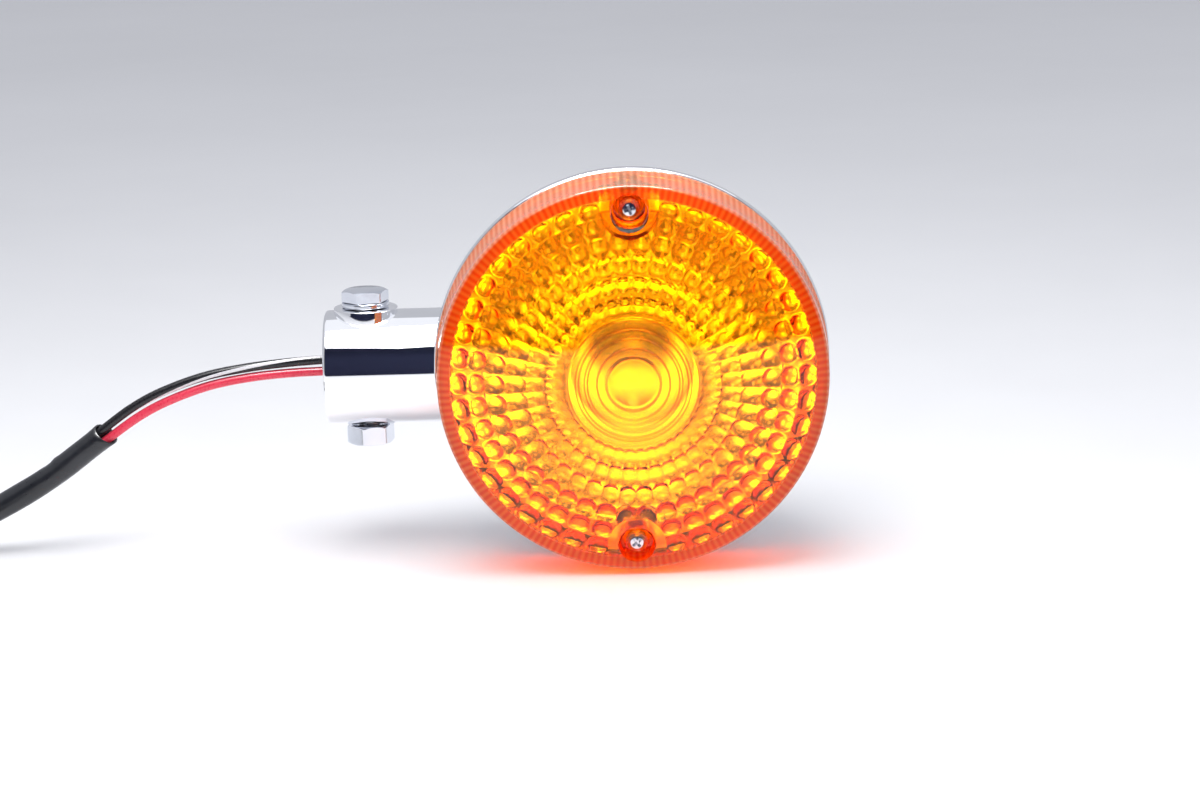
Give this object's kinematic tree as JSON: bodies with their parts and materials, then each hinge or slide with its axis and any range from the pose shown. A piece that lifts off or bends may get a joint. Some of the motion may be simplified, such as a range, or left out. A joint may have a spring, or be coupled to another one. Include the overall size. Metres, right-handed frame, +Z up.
{
  "type": "motorcycle turn signal indicator",
  "caption": "Round amber turn signal lamp in a chromed cup with a hollow side stem, a cross bolt clamp and a sleeved wire lead.",
  "frame": {"origin": "centre of the stem's open end, on the stem's axis", "axes": "+X from the stem's open end towards the lamp, -Y the way the lens faces, +Z up along the cross bolt"},
  "size_m": [0.272, 0.102, 0.0937],
  "materials": {
    "chrome": "polished chrome plate on die-cast zinc",
    "amber_plastic": "clear amber acrylic, glossy, moulded optics on the inside",
    "rubber": "matt black rubber",
    "zinc_plate": "bright blue-white zinc plate",
    "reflector": "bright vacuum-metallised",
    "phenolic": "brown pressed phenolic",
    "brass": "bright",
    "spring_steel": "drawn wire",
    "clear_glass": "clear",
    "black_glass": "black vitreous insulator",
    "solder": "dull solder",
    "tungsten": "drawn wire",
    "red_pvc": "smooth extruded PVC",
    "black_pvc": "smooth extruded PVC",
    "sleeve_pvc": "soft black PVC sleeving",
    "boot_pvc": "soft black PVC boot"
  },
  "bodies": {
    "root": {"housing": "chrome", "lens": "amber_plastic", "lens_gasket": "rubber", "wire_grommet": "rubber", "lens_screw_upper": "zinc_plate", "lens_screw_lower": "zinc_plate", "reflector": "reflector", "socket_plate": "zinc_plate", "socket_rivet_left": "zinc_plate", "socket_rivet_right": "zinc_plate", "socket_shell": "zinc_plate", "socket_insulator": "phenolic", "contact_spring": "spring_steel", "ground_terminal": "brass", "ground_screw": "zinc_plate", "clamp_nut": "zinc_plate", "red_wire_in_housing": "red_pvc", "black_wire_in_housing": "black_pvc", "red_wire_lead": "red_pvc", "black_wire_lead": "black_pvc", "sleeve_lead": "sleeve_pvc", "sleeve_coil": "sleeve_pvc", "sleeve_end": "sleeve_pvc", "red_wire_end": "red_pvc", "black_wire_end": "black_pvc", "red_connector_boot": "boot_pvc", "black_connector_boot": "boot_pvc", "red_bullet": "brass", "black_bullet": "brass"},
    "clamp_washer": {"clamp_spring_washer": "zinc_plate"},
    "clamp_bolt": {"clamp_bolt": "zinc_plate"},
    "contact": {"contact_plunger": "phenolic", "contact_button": "brass"},
    "bulb": {"bulb_glass": "clear_glass", "bulb_stem": "clear_glass", "bulb_cap": "brass", "bulb_insulator": "black_glass", "bulb_contact": "solder", "bulb_lead_left": "tungsten", "bulb_lead_right": "tungsten", "bulb_filament": "tungsten"}
  },
  "joints": [
    {"name": "clamp_bolt_travel", "type": "slide", "parent": "root", "child": "clamp_washer", "axis": [0, 0, 1], "range_m": [0, 0.003]},
    {"name": "clamp_bolt_turn", "type": "hinge", "parent": "clamp_washer", "child": "clamp_bolt", "pos_m": [0.0099, 0, 0.017], "axis": [0, 0, 1], "range_deg": [0, 1080]},
    {"name": "bulb_press", "type": "slide", "parent": "root", "child": "contact", "axis": [0, 1, 0], "range_m": [0, 0.0025], "stiffness_N_per_m": 3000, "springref_m": -0.001, "deforming": ["contact_spring"]},
    {"name": "bulb_turn", "type": "hinge", "parent": "contact", "child": "bulb", "pos_m": [0.0734, 0, 0.002], "axis": [0, -1, 0], "range_deg": [0, 25]}
  ],
  "couplings": [
    {"joint": "clamp_bolt_turn", "follows": "clamp_bolt_travel", "rad_per_m": 6283.2},
    {"joint": "bulb_turn", "follows": "bulb_press", "rad_per_m": 174.53}
  ]
}
